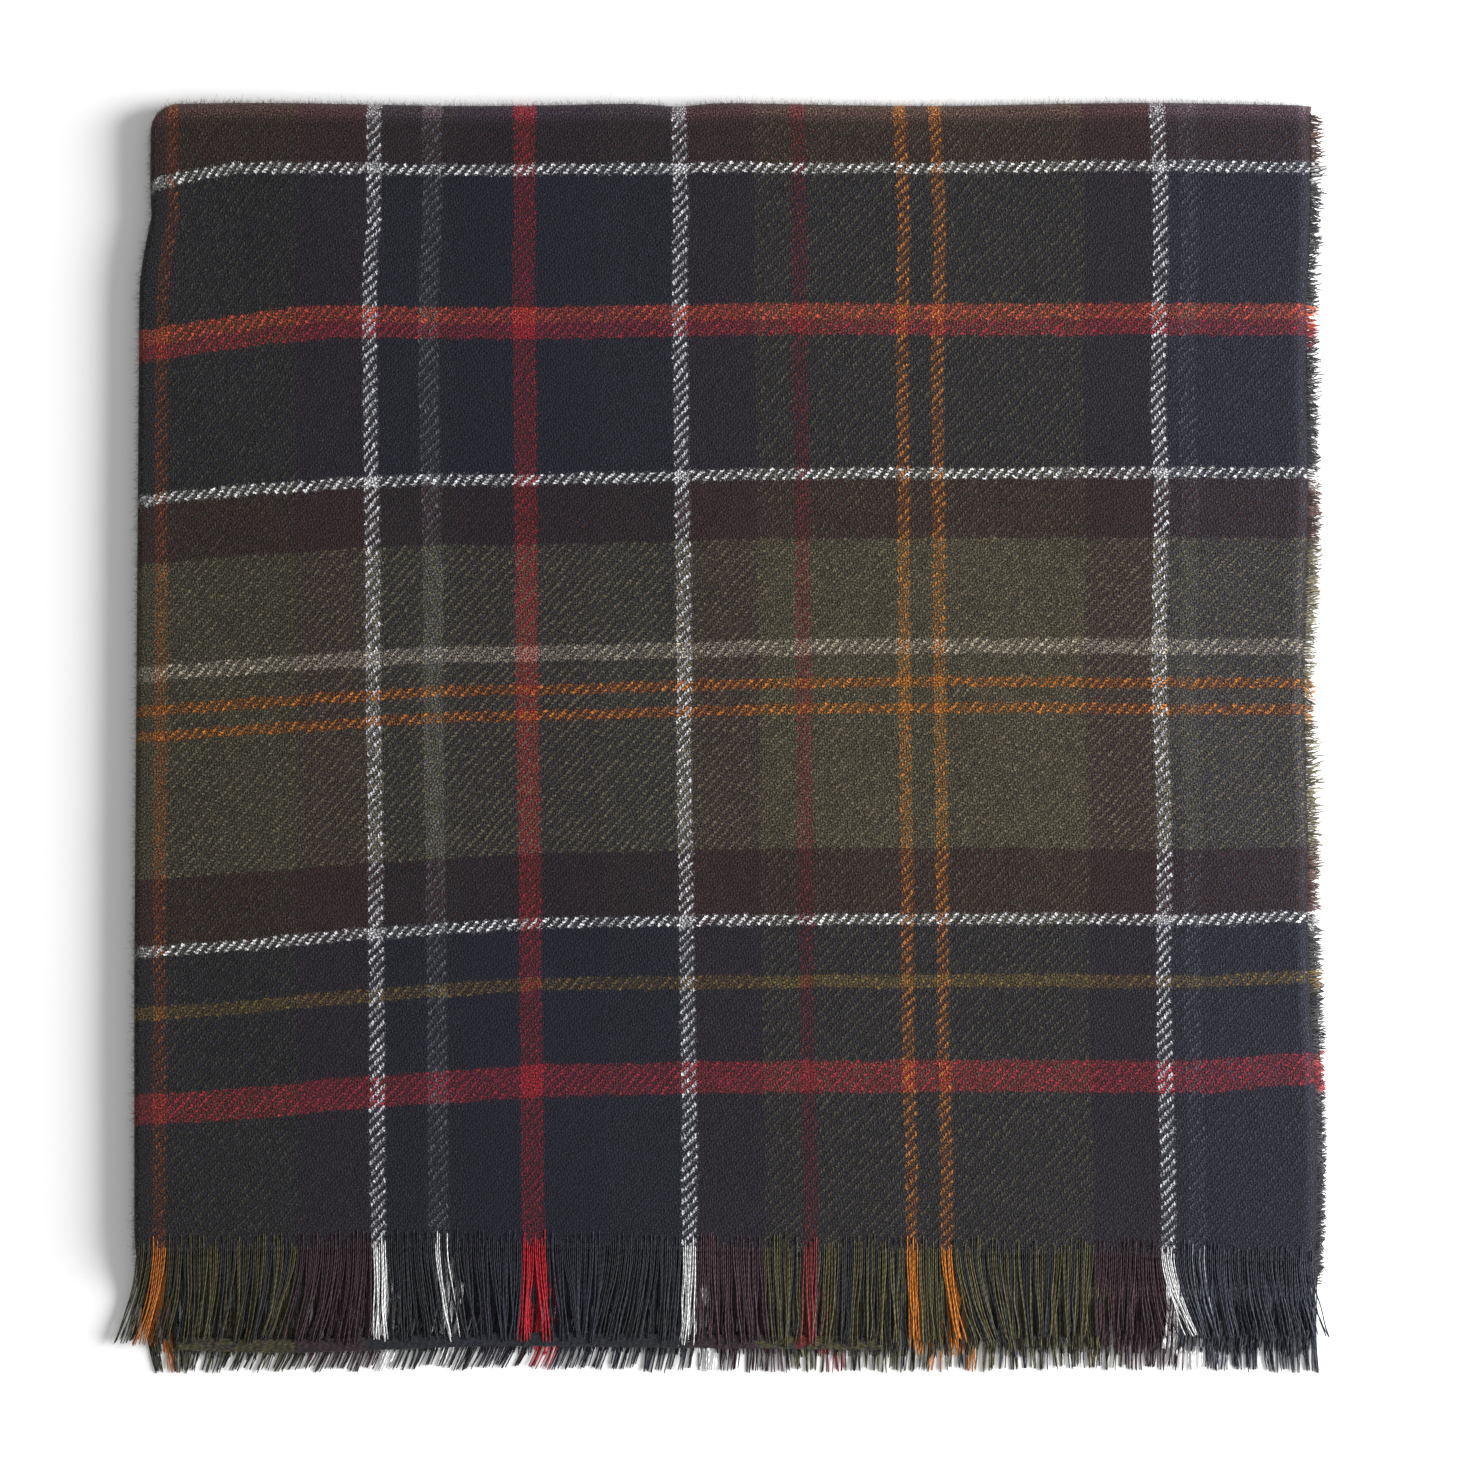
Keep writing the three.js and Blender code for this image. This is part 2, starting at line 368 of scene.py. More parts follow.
class Wire:
    def __init__(self, tree, socket=None):
        self.tree = tree
        self.socket = socket

    def node(self, kind, settings=None, sockets=None, output=0):
        made = self.tree.nodes.new(kind)
        for key, value in (settings or {}).items():
            if key == "stops":
                ramp = made.color_ramp
                while len(ramp.elements) > 1:
                    ramp.elements.remove(ramp.elements[0])
                ramp.elements[0].position, ramp.elements[0].color = value[0]
                for position, colour in value[1:]:
                    ramp.elements.new(position).color = colour
            elif key == "interpolation" and kind == "ShaderNodeValToRGB":
                made.color_ramp.interpolation = value
            else:
                setattr(made, key, value)
        for key, value in (sockets or {}).items():
            if isinstance(value, Wire):
                self.tree.links.new(value.socket, made.inputs[key])
            else:
                made.inputs[key].default_value = value
        return Wire(self.tree, made.outputs[output] if made.outputs else None)

    def other(self, name):
        return Wire(self.tree, self.socket.node.outputs[name])

    def maths(self, operation, *values):
        return self.node("ShaderNodeMath", {"operation": operation}, dict(enumerate(values)))

    def __add__(self, other):
        return self.maths("ADD", self, other)

    __radd__ = __add__

    def __sub__(self, other):
        return self.maths("SUBTRACT", self, other)

    def __rsub__(self, other):
        return self.maths("SUBTRACT", other, self)

    def __mul__(self, other):
        return self.maths("MULTIPLY", self, other)

    __rmul__ = __mul__

    def __truediv__(self, other):
        return self.maths("DIVIDE", self, other)

    def __pow__(self, other):
        return self.maths("POWER", self, other)

    def __gt__(self, other):
        return self.maths("GREATER_THAN", self, other)

    def between(self, low, high):
        settings = {"interpolation_type": "SMOOTHSTEP"}
        return self.node("ShaderNodeMapRange", settings, {0: self, 1: low, 2: high, 3: 0.0, 4: 1.0})

    def blend(self, first, second):
        # first where this wire is 0, and second where it is 1
        return self.mix(self, first, second)

    def mix(self, factor, first, second, kind="MIX"):
        return self.node("ShaderNodeMix", {"data_type": "RGBA", "blend_type": kind},
                         {0: factor, 6: first, 7: second}, output=2)

    def vector(self, operation, first, second=None, **more):
        sockets = {0: first, **more} if second is None else {0: first, 1: second, **more}
        return self.node("ShaderNodeVectorMath", {"operation": operation}, sockets)

    def grey(self, value):
        return self.node("ShaderNodeCombineXYZ", {}, {0: value, 1: value, 2: value})

    def limit(self, value, low, high):
        return self.maths("MINIMUM", self.maths("MAXIMUM", value, low), high)

    def noise(self, vector, scale, detail=2.0, roughness=0.5, output=0):
        sockets = {"Vector": vector, "Scale": scale, "Detail": detail, "Roughness": roughness}
        return self.node("ShaderNodeTexNoise", {}, sockets, output)

    def chance(self, *seeds):
        # a steady random number for each whole value of the seeds
        if len(seeds) == 1:
            return self.node("ShaderNodeTexWhiteNoise", {"noise_dimensions": "1D"}, {"W": seeds[0]})
        place = self.node("ShaderNodeCombineXYZ", {}, dict(enumerate(seeds)))
        return self.node("ShaderNodeTexWhiteNoise", {"noise_dimensions": "3D"}, {"Vector": place})


def newMaterial(name):
    material = bpy.data.materials.new(name)
    material.use_nodes = True
    material.node_tree.nodes.clear()
    return material, Wire(material.node_tree)


def finishMaterial(make, colour, normal, roughness, sheen):
    sockets = {
        "Base Color": colour, "Normal": normal, "Roughness": roughness, "Metallic": 0.0,
        "Specular IOR Level": 0.2, "Sheen Weight": sheen, "Sheen Roughness": 0.5,
        "Sheen Tint": (0.95, 0.93, 0.9, 1.0),
    }
    surface = make.node("ShaderNodeBsdfPrincipled", {}, sockets)
    make.node("ShaderNodeOutputMaterial", {}, {"Surface": surface})


def settColour(make, index, sett, shades):
    # two ramps, each over half of the sett, so that a stripe starts on its own thread
    total = sum(count for _, count in sett)
    half = total // 2
    sides = []
    for start in (0, half):
        stops = []
        at = 0
        for name, count in sett:
            if at + count > start and at < start + half + 1:
                stops.append((max(0.0, (at - start - 0.5) / (half + 1)), shades[name]))
            at += count
        settings = {"interpolation": "CONSTANT", "stops": stops}
        sides.append(make.node("ShaderNodeValToRGB", settings, {0: (index + 0.5 - start) / (half + 1)}))
    late = index > half - 0.5
    low, high = (side.other("Alpha") for side in sides)
    return late.blend(*sides), low + (high - low) * late


weaveLook = {
    "wander": 0.9,                # how far a yarn strays over many threads, in threads
    "jitter": 0.90,               # and within one
    "climb": 1.4,                 # how high a yarn climbs over the two it crosses
    "base": 0.1,
    "round": 5.4,                 # how round it is across
    "sharp": 0.15,                # the blur where one yarn goes under the other
    "gap": 0.10,                  # light left in the hollows between yarns
    "tone": 0.70,
    "floatTone": (0.35, 1.3),     # the darkest float, and how much lighter the lightest is
    "fibres": (6.5, 1.0, 0.1, 3.4),     # contrast of the fine fibres, their middle and their limits
    "veil": (8.0, 0.60, 0.05, 3.0),     # the same for the brushed fibres that veil the weave
    "either": 0.60,               # how much of the veil is either yarn's, not the darker one's
    "veilFine": 0.9,              # how unevenly it lies, over a thread
    "veilPatches": 0.5,           # and over a hand's breadth
    "veilLimits": (0.03, 0.95),
    "creaseFuzz": 0.50,
    # painted sheen along the rim of the crosswise fold
    "rimLight": 4.0,
    "frayed": 0.5,                # shade of the last threads before the cut edge
    "spread": 2.2,                # how far fibres carry a colour, in threads
    "relief": 0.3 * mm,
}


def clothMaterial():
    material, make = newMaterial("brushed tartan twill")
    place = make.node("ShaderNodeUVMap", {"uv_map": "threads"})

    def strayed(scale, detail, amount):
        noise = make.noise(place, scale, detail, 0.5, output=1)
        centred = make.vector("SUBTRACT", noise, (0.5,) * 3)
        return make.vector("SCALE", centred, Scale=amount)

    # noise scales are per thread, as the map counts threads
    slow = strayed(0.12, 1.0, weaveLook["wander"] * 2)
    quick = strayed(0.9, 1.0, weaveLook["jitter"] * 2)
    wandered = make.vector("ADD", make.vector("ADD", place, slow), quick)
    parts = make.node("ShaderNodeSeparateXYZ", {}, {0: wandered})
    end, pick = parts, parts.other("Y")
    endIndex = make.maths("FLOOR", end)
    pickIndex = make.maths("FLOOR", pick)
    acrossEnd = end - endIndex - 0.5
    acrossPick = pick - pickIndex - 0.5

    def yarnHeight(rise, across):
        return rise * weaveLook["climb"] + weaveLook["base"] - across * across * weaveLook["round"]

    def uneven(noise, settings):
        contrast, middle, lowest, highest = settings
        return make.limit((noise - 0.5) * contrast + middle, lowest, highest)

    # each yarn is round across and rises and dives along: over two, under two
    warpRise = make.maths("SINE", (endIndex + pick) * (math.pi / 2))
    weftRise = make.maths("SINE", (end + pickIndex) * (math.pi / 2)) * -1
    warpHeight = yarnHeight(warpRise, acrossEnd)
    weftHeight = yarnHeight(weftRise, acrossPick)
    warpOver = (warpHeight - weftHeight).between(-weaveLook["sharp"], weaveLook["sharp"])
    height = make.maths("MAXIMUM", warpHeight, weftHeight)

    # the two yarns' colours, and the same blurred by stray fibres
    def bothColours(endAt, pickAt):
        warpTurn = make.maths("ABSOLUTE", make.maths("FLOOR", endAt) + 0.5) - 0.5
        weftTurn = make.maths("ABSOLUTE", make.maths("FLOOR", pickAt) + 0.5) - 0.5
        return (settColour(make, warpTurn, warpSett, warpShades),
                settColour(make, weftTurn, weftSett, weftShades))

    (warp, warpFuzz), (weft, weftFuzz) = bothColours(end, pick)
    pattern = warpOver.blend(weft, warp)
    carried = make.node("ShaderNodeSeparateXYZ", {},
                        {0: make.vector("ADD", wandered, strayed(1.4, 2.0, weaveLook["spread"] * 2))})
    (warpNear, _), (weftNear, _) = bothColours(carried, carried.other("Y"))
    either = make.noise(place, 1.9, 2.0, 0.6).between(0.42, 0.58)
    darker = make.mix(1.0, warpNear, weftNear, "DARKEN")
    veil = make.mix(weaveLook["either"], darker, either.blend(warpNear, weftNear))

    # every float of yarn has its own tone
    warpFloat = make.maths("FLOOR", (pick + endIndex) / 4)
    weftFloat = make.maths("FLOOR", (end + pickIndex) / 4)
    warpTone = make.chance(endIndex, warpFloat, 1.0)
    weftTone = make.chance(pickIndex, weftFloat, 2.0)
    floatTone = weftTone + (warpTone - weftTone) * warpOver
    fibre = make.noise(place, 1.7, 2.0, 0.8)
    patches = make.noise(place, 0.06, 2.0, 0.5)
    hollow = height.between(-0.1, 1.3)
    darkest, lighter = weaveLook["floatTone"]
    # painted shade: the hollows between the yarns are darkened, down to gap at their deepest
    light = (weaveLook["gap"] + hollow * (1 - weaveLook["gap"])) * (darkest + floatTone * lighter)
    light = light * uneven(fibre, weaveLook["fibres"])
    veilLight = uneven(fibre, weaveLook["veil"])
    yarnFuzz = make.maths("MINIMUM", warpFuzz, weftFuzz)
    # the nap stands up where the cloth is creased
    fromEdges = make.node("ShaderNodeUVMap", {"uv_map": "margins"})
    margins = make.node("ShaderNodeSeparateXYZ", {}, {0: fromEdges})
    toCut, farDown = margins, margins.other("Y")
    nearTop = 1 - farDown.between(5 * mm, 20 * mm)
    nearSide = 1 - make.maths("ABSOLUTE", end).between(4.0, 10.0)
    raised = make.maths("MAXIMUM", nearTop, nearSide) * weaveLook["creaseFuzz"]
    # painted sheen: the veil is lightened along the rim of the crosswise fold
    rim = (1 - farDown.between(3 * mm, 22 * mm)) ** 3
    veilLight = veilLight * (1 + rim * weaveLook["rimLight"])
    fuzz = (fibre - 0.5) * weaveLook["veilFine"] + (patches - 0.5) * weaveLook["veilPatches"] + yarnFuzz
    fuzz = make.limit(fuzz + raised, *weaveLook["veilLimits"])
    colour = make.mix(1.0, pattern, make.grey(light * weaveLook["tone"]), "MULTIPLY")
    veil = make.mix(1.0, veil, make.grey(veilLight * weaveLook["tone"]), "MULTIPLY")
    colour = fuzz.blend(colour, veil)
    # painted shade: the last threads before the cut edge are darkened as if in its shade
    frayed = 1 - (1 - toCut.between(0.5 * mm, 2.5 * mm)) * weaveLook["frayed"]
    colour = make.mix(1.0, colour, make.grey(frayed), "MULTIPLY")

    relief = height * (1.0 - fuzz * 0.5) + (fibre - 0.5) * 1.2
    bump = make.node("ShaderNodeBump", {}, {"Strength": 1.0, "Distance": weaveLook["relief"],
                                            "Height": relief})
    rough = 0.97 - hollow * 0.12
    finishMaterial(make, colour, bump, rough, 0.10)
    return material


def yarnMaterial():
    material, make = newMaterial("free plied yarn")
    colour = make.node("ShaderNodeAttribute", {"attribute_name": "shade"})
    place = make.node("ShaderNodeUVMap", {"uv_map": "ply"})
    parts = make.node("ShaderNodeSeparateXYZ", {}, {0: place})
    turn, along = parts, parts.other("Y")
    groove = make.maths("SINE", (turn * 2 + along) * (2 * math.pi)) * 0.5 + 0.5
    fibre = make.noise(make.node("ShaderNodeTexCoord", {}, {}, "Object"), 2600.0, 2.0, 0.6)
    # painted shade in the grooves between the two plies
    light = (groove * 0.4 + 0.58) * (0.6 + fibre * 0.7)
    shade = make.mix(1.0, colour, make.grey(light), "MULTIPLY")
    bump = make.node("ShaderNodeBump", {}, {"Strength": 0.7, "Distance": 0.15 * mm,
                                            "Height": groove + fibre * 0.4})
    finishMaterial(make, shade, bump, 0.9 - groove * 0.1, 0.08)
    return material


def thinning(toEnd):
    # the cloth flattens where its last picks let go
    return 1 - (1 - stack["edgeThin"]) * (1 - smooth(0, stack["thinOver"], toEnd))


# grid steps: the first one at a fold, how each grows on the last, and the largest
clothGrid = {
    "across": (0.8 * mm, 1.16, 8 * mm),
    "along": (0.12 * mm, 1.30, 8 * mm),
}


def makeCloth():
    across = graded(clothReach["across"], *clothGrid["across"])
    up = graded(clothReach["up"], *clothGrid["along"])
    under = graded(clothReach["under"], *clothGrid["along"])
    a = np.concatenate([-across[:0:-1], across])
    b = np.concatenate([-under[:0:-1], up])
    gridA, gridB = np.meshgrid(a, b, indexing="ij")
    thin = thinning(np.minimum(clothReach["up"] - gridB, gridB + clothReach["under"]))
    toCut = clothReach["across"] - np.abs(gridA)
    thin = thin * (1 - stack["cutThinner"] * (1 - smooth(0, stack["cutOver"], toCut)))
    half = stack["cloth"] / 2 * thin
    faces = [lay(gridA, gridB, half * side) for side in (1, -1)]
    rows, columns = gridA.shape
    index = np.arange(rows * columns).reshape(rows, columns)
    back = index + rows * columns

    def quads(grid, flip):
        p, q, r, s = grid[:-1, :-1], grid[1:, :-1], grid[1:, 1:], grid[:-1, 1:]
        order = (s, r, q, p) if flip else (p, q, r, s)
        return np.stack(order, axis=-1).reshape(-1, 4)

    rim = np.concatenate([index[:-1, 0], index[-1, :-1], index[:0:-1, -1], index[0, :0:-1]])
    rimNext = np.roll(rim, -1)
    sides = np.stack([rim, rim + rows * columns, rimNext + rows * columns, rimNext], axis=-1)
    everyFace = np.concatenate([quads(index, False), quads(back, True), sides])
    cloth = meshFrom("throw_cloth", np.stack(faces), everyFace.tolist())
    both = threads(gridA, gridB)
    addMap(cloth, "threads", np.stack([both, both]))
    margins = np.stack([toCut, np.abs(gridB)], axis=-1)
    addMap(cloth, "margins", np.stack([margins, margins]))
    cloth.data.materials.append(clothMaterial())
    return cloth


cloth = makeCloth()
print("cloth laid:", len(cloth.data.polygons), "faces")

strandShape = {
    "sides": 6,
    "endSteps": 16,               # points along a strand of an end fringe
    "tuckSteps": 6,               # those of them inside the cloth
    "sideSteps": 5,
    "twist": 4.2 * mm,
    "plies": 0.16,                # how far its two plies bulge
}


def strands(name, lines, radii, shades, material, sides=strandShape["sides"]):
    # lines is (count, steps, 3), radii (count, steps) and shades (count, 4)
    count, steps, _ = lines.shape
    ahead = np.gradient(lines, axis=1)
    ahead /= np.linalg.norm(ahead, axis=-1, keepdims=True) + 1e-12
    upward = np.array([0.0, 0.0, 1.0])
    first = np.cross(ahead, upward)
    first /= np.linalg.norm(first, axis=-1, keepdims=True) + 1e-12
    second = np.cross(first, ahead)
    length = np.concatenate([np.zeros((count, 1)), np.cumsum(
        np.linalg.norm(np.diff(lines, axis=1), axis=-1), axis=1)], axis=1)
    angle = np.arange(sides) * 2 * math.pi / sides
    phase = np.random.default_rng(count).random((count, 1))
    twisting = length / strandShape["twist"] + phase
    twisted = 2 * angle[None, None, :] - 2 * math.pi * twisting[..., None]
    lobes = 1 + strandShape["plies"] * np.cos(twisted)
    ring = radii[..., None] * lobes
    points = (lines[:, :, None, :]
              + first[:, :, None, :] * (ring * np.cos(angle))[..., None]
              + second[:, :, None, :] * (ring * np.sin(angle))[..., None])
    index = np.arange(count * steps * sides).reshape(count, steps, sides)
    here, there = index[:, :-1], index[:, 1:]
    tubes = np.stack([here, np.roll(here, -1, 2), np.roll(there, -1, 2), there], axis=-1)
    faces = tubes.reshape(-1, 4).tolist()
    faces += index[:, 0, ::-1].tolist() + index[:, -1, :].tolist()
    made = meshFrom(name, points, faces)
    around = np.broadcast_to(angle[None, None, :] / (2 * math.pi), ring.shape)
    along = np.broadcast_to(twisting[..., None], ring.shape)
    addMap(made, "ply", np.stack([around, along], axis=-1))
    eachRing = shades[:, None, None, :] if shades.ndim == 2 else shades[:, :, None, :]
    colours = np.broadcast_to(eachRing, ring.shape + (4,)).reshape(-1, 4)
    layer = made.data.color_attributes.new("shade", "FLOAT_COLOR", "POINT")
    layer.data.foreach_set("color", colours.astype(np.float32).ravel())
    made.data.materials.append(material)
    return made


endFringe = {
    "length": endFringeHigh[1] - endFringeLow[1],
    "tuck": 14 * mm,              # how far each strand starts inside the cloth
    "gather": (0.10, 0.55),       # how far a strand goes towards the middle of its clump
    "sway": 4 * mm,               # of the lower fringes
    "broken": 2.2 * mm,           # the most that a tip has lost
    "curl": (0.2, 1.0),           # mm to either side
    "bend": {1: 2.2, 2: 2.2, 3: 2.2, 4: 1.4},    # 1 is straight, and higher bends late
    "restOn": {1: 0.8 * mm, 2: 1.9 * mm, 3: 3.0 * mm, 4: 4.9 * mm},    # how high its tips lie
    # which way the top fringe is combed: how far across, and how far its tips lean
    "combed": ((0, -16), (20, -12), (40, -6), (62, -5), (95, -12), (125, -10), (142, -3), (160, 2),
               (180, 9), (215, 4), (228, -5), (240, 1), (262, 4), (290, -13), (318, -5), (336, -1),
               (370, 3), (420, -3), (455, -1), (480, 5), (498, 16), (520, 5), (560, -2), (600, -1),
               (616, 17), (630, 12), (650, 6), (680, 8), (706, 14)),
    "shorter": {1: 6 * mm, 2: 6 * mm, 3: 6 * mm, 4: 10 * mm},    # towards the cut edge
    "secondRow": 6 * mm,          # how much longer the third layer is there
    "stray": 0.9 * mm,            # of tips, across and along
    "topClumps": (4, 16),         # strands in a clump
    "lowClumps": (2, 7),
    "paler": 0.30,                # dark yarns, away from the lengthwise fold
    # the lower fringes start to the right of the top one, lean to the left and end short of it
    "start": {1: 14 * mm, 2: 8 * mm, 3: 2 * mm, 4: 0.0},
    "lean": {1: -13 * mm, 2: -6 * mm, 3: -4 * mm},
    "leftTips": {1: 10 * mm, 2: 10 * mm, 3: -12 * mm},    # the lean right at the lengthwise fold
    "leftReach": 0.022,
    "longer": {1: 8 * mm, 2: -8 * mm, 3: -7 * mm, 4: 1 * mm},
}


def makeEndFringe(layer, material):
    rng = np.random.default_rng(100 + layer)
    side = 1 if layer in (1, 4) else -1
    way = 1 if layer >= 3 else -1
    onTop = layer == 4
    reach = clothReach["up"] if way > 0 else clothReach["under"]
    count = int(clothReach["across"] / yarn["loose"])
    a = (np.arange(count) + 0.5) * yarn["loose"]
    a = a + rng.normal(0, 0.15 * mm, count)
    names = [yarnAt(warpSett, int(end)) for end in
             np.abs(threads(a * side, np.full(count, reach * way))[:, 0])]
    # neighbours hang together in clumps of uneven size, and a bright stripe hangs by itself
    clump = np.zeros(count, dtype=int)
    clumpSizes = endFringe["topClumps"] if onTop else endFringe["lowClumps"]
    start, size = 0, 9
    for at in range(1, count):
        clump[at] = clump[at - 1]
        apart = names[at] != names[at - 1] and {names[at], names[at - 1]} & {"white", "orange", "tawny"}
        if apart or at - start >= size:
            clump[at] += 1
            start, size = at, int(rng.integers(*clumpSizes))
    number = clump[-1] + 1
    centre = np.array([a[clump == k].mean() for k in range(number)])[clump]
    gather = rng.uniform(*endFringe["gather"], number)[clump]
    if onTop:
        combed = np.array(endFringe["combed"]) * mm
        lean = np.interp(a, combed[:, 0], combed[:, 1])
    else:
        lean = endFringe["lean"][layer] * smooth(0.0, 0.06, a) * (1 - smooth(0.22, 0.42, a))
        lean = lean + endFringe["sway"] * waves(a, a * 0, 40 + layer, 0.03, 0.2, 5)
        lean = lean + endFringe["leftTips"][layer] * np.exp(-a / endFringe["leftReach"])
    stray = endFringe["stray"]
    lean = lean + stray * rng.normal(0, 1.0, number)[clump] + rng.normal(0, stray, count)
    length = endFringe["length"] * (1 + rng.normal(0, 0.008, count)) + endFringe["longer"][layer]
    length = length + rng.normal(0, stray, number)[clump]
    length = length - endFringe["broken"] * rng.random(count) ** 2
    length = length - endFringe["shorter"][layer] * smooth(0.35, 0.70, a)
    if layer == 3:
        length = length + endFringe["secondRow"] * smooth(0.36, 0.44, a)
    steps = strandShape["endSteps"]
    total = (length + endFringe["tuck"])[:, None]
    inside = endFringe["tuck"] / total
    buried = np.linspace(0, 1, strandShape["tuckSteps"])[None, :-1]
    outside = np.linspace(0, 1, steps - buried.size)
    t = np.concatenate([inside * buried, inside + (1 - inside) * outside], axis=1)
    free = np.clip((t - inside) / (1 - inside), 0, 1)
    run = reach - endFringe["tuck"] + total * t
    root = lay(a[:, None] * side + 0 * run, np.minimum(run, reach) * way, 0 * run)
    wave = rng.uniform(0, 6.3, (count, 1))
    wide = rng.uniform(*endFringe["curl"], (count, 1)) * mm
    held = smooth(0.02, 0.08, a) * (1 - smooth(0.62, 0.68, a))
    x = root[..., 0] + (endFringe["start"][layer] * held)[:, None]
    x = x + ((centre - a) * gather)[:, None] * smooth(0, 0.8, free)
    x = x + lean[:, None] * free ** endFringe["bend"][layer]
    x = x + wide * np.sin(wave + free * rng.uniform(5, 12, (count, 1))) * free
    y = root[..., 1] - np.clip(run - reach, 0, None)
    # the strands of the top layer work loose one by one before the last pick
    loose = rng.uniform(0.0, 0.8, (count, 1))
    loosened = smooth(0.0, 0.3, t / inside - loose) * (1 if onTop else 0)
    lifted = (stack["cloth"] / 2 * thinning(reach - run) + 0.15 * mm) * loosened
    fall = smooth(0.0, 0.55, free)
    rest = endFringe["restOn"][layer] + rng.uniform(-0.5, 0.9, (count, 1)) * mm * free
    z = (root[..., 2] + lifted) * (1 - fall) + rest * fall
    lines = np.stack([x, y, z], axis=-1)
    radii = yarn["strand"] * rng.uniform(0.70, 1.05, (count, 1)) * np.ones((1, steps))
    radii = radii * (0.7 + 0.3 * smooth(0, 0.15, free)) * np.where(t > 0.995, 0.75, 1.0)
    radii = radii * np.array([0.82 if name == "white" else 1.0 for name in names])[:, None]
    shades = []
    paler = 1 + endFringe["paler"] * smooth(0.16, 0.34, a)
    for name, pale in zip(names, paler):
        if name in ("olive", "moss") and rng.random() < 0.36:
            name = "bottle"
        if name == "grey":
            name = "white" if rng.random() < 0.55 else "bottle"
        if name == "slate":
            name = "slate" if rng.random() < 0.5 else "charcoal"
        dark = max(freeShades[name][:3]) < 0.3
        tone = rng.uniform(0.6, 1.4) * pale if dark else rng.uniform(0.8, 1.1)
        shades.append([*(level * tone for level in freeShades[name][:3]), 1.0])
    return strands(f"end_fringe_yarns_{layer}", lines, radii, np.array(shades), material)


sideFringe = {
    "length": sideFringeHigh[0] - sideFringeLow[0],
    "tuck": 1.5 * mm,
    "clear": 7 * mm,              # none right on the crease of the crosswise fold
    "gather": (0.3, 0.7),         # how far a strand goes towards the middle of its clump
    "uneven": (0.8, 1.4),         # lengths, as shares of the usual one
    "worn": 0.50,                 # how much shorter it is in the lower third
    "droop": 1.6 * mm,
    "lowest": 0.7 * mm,           # above the floor
    "tones": (0.4, 0.8, 1.3),
    "toneShares": (0.40, 0.28, 0.32),
    "hidden": 0.75,               # length of the layers below the top one, as a share of its own
    "undyed": eye(146, 138, 120),
}


def makeSideFringe(layer, material):
    rng = np.random.default_rng(200 + layer)
    side = 1 if layer in (1, 4) else -1
    way = 1 if layer >= 3 else -1
    reach = clothReach["up"] if way > 0 else clothReach["under"]
    count = int((reach - sideFringe["clear"]) / yarn["pick"])
    b = sideFringe["clear"] + (np.arange(count) + 0.5) * yarn["pick"]
    clump = np.cumsum(rng.random(count) < 0.5)
    centre = np.array([b[clump == k].mean() for k in clump])
    pull = rng.uniform(*sideFringe["gather"], clump.max() + 1)[clump]
    tone = rng.choice(sideFringe["tones"], clump.max() + 1, p=sideFringe["toneShares"])[clump]
    start = clothReach["across"] - sideFringe["tuck"]
    root = lay(np.full(count, start * side), b * way, np.zeros(count))
    steps = strandShape["sideSteps"]
    t = np.linspace(0, 1, steps)[None, :]
    field = waves(b, b * 0, 70 + layer, 0.02, 0.09, 5)[:, None]
    length = sideFringe["length"] * rng.uniform(*sideFringe["uneven"], (count, 1)) * (1 + 0.25 * field)
    length = length * (1 - sideFringe["worn"] * smooth(0.50, 0.60, b)[:, None])
    length = length * (1 if layer == 4 else sideFringe["hidden"])
    total = length + sideFringe["tuck"]
    x = root[:, :1] + total * t
    slant = (rng.normal(0, 0.9, (count, 1)) + 2.0 * field) * mm + ((b - centre) * pull)[:, None]
    y = root[:, 1:2] + slant * t ** 1.6 + 0.4 * mm * np.sin(6 * t + rng.uniform(0, 6.3, (count, 1)))
    z = root[:, 2:3] - (0.5 + rng.random((count, 1))) * sideFringe["droop"] * t ** 2
    z = np.maximum(z, sideFringe["lowest"])
    lines = np.stack([x, y, z], axis=-1)
    radii = yarn["strand"] * rng.uniform(0.6, 1.0, (count, 1)) * np.ones((1, steps))
    radii = radii * np.where(t > 0.99, 0.7, 1.0)
    picks = threads(np.full(count, start * side), b * way)[:, 1]
    shades = []
    for pick, bright in zip(np.abs(picks), tone):
        shade = freeWeftShades[yarnAt(weftSett, int(pick))]
        share = 0.12 if bright > 1 else 0.04
        mixed = [level * (1 - share) + pale * share
                 for level, pale in zip(shade[:3], sideFringe["undyed"])]
        shades.append([*(min(level * bright, 0.7) for level in mixed), 1.0])
    return strands(f"side_fringe_yarns_{layer}", lines, radii, np.array(shades), material)


nap = {
    "perMetre": 9000,             # fibres
    "length": (0.7 * mm, 2.4 * mm),
    "radius": 0.06 * mm,
    "steps": 3,
    "stray": 0.7,                 # how far it leans from straight out, as a share of its length
    "curl": 0.5,
    "laidBack": 1.5 * mm,         # how far from the crosswise fold
}


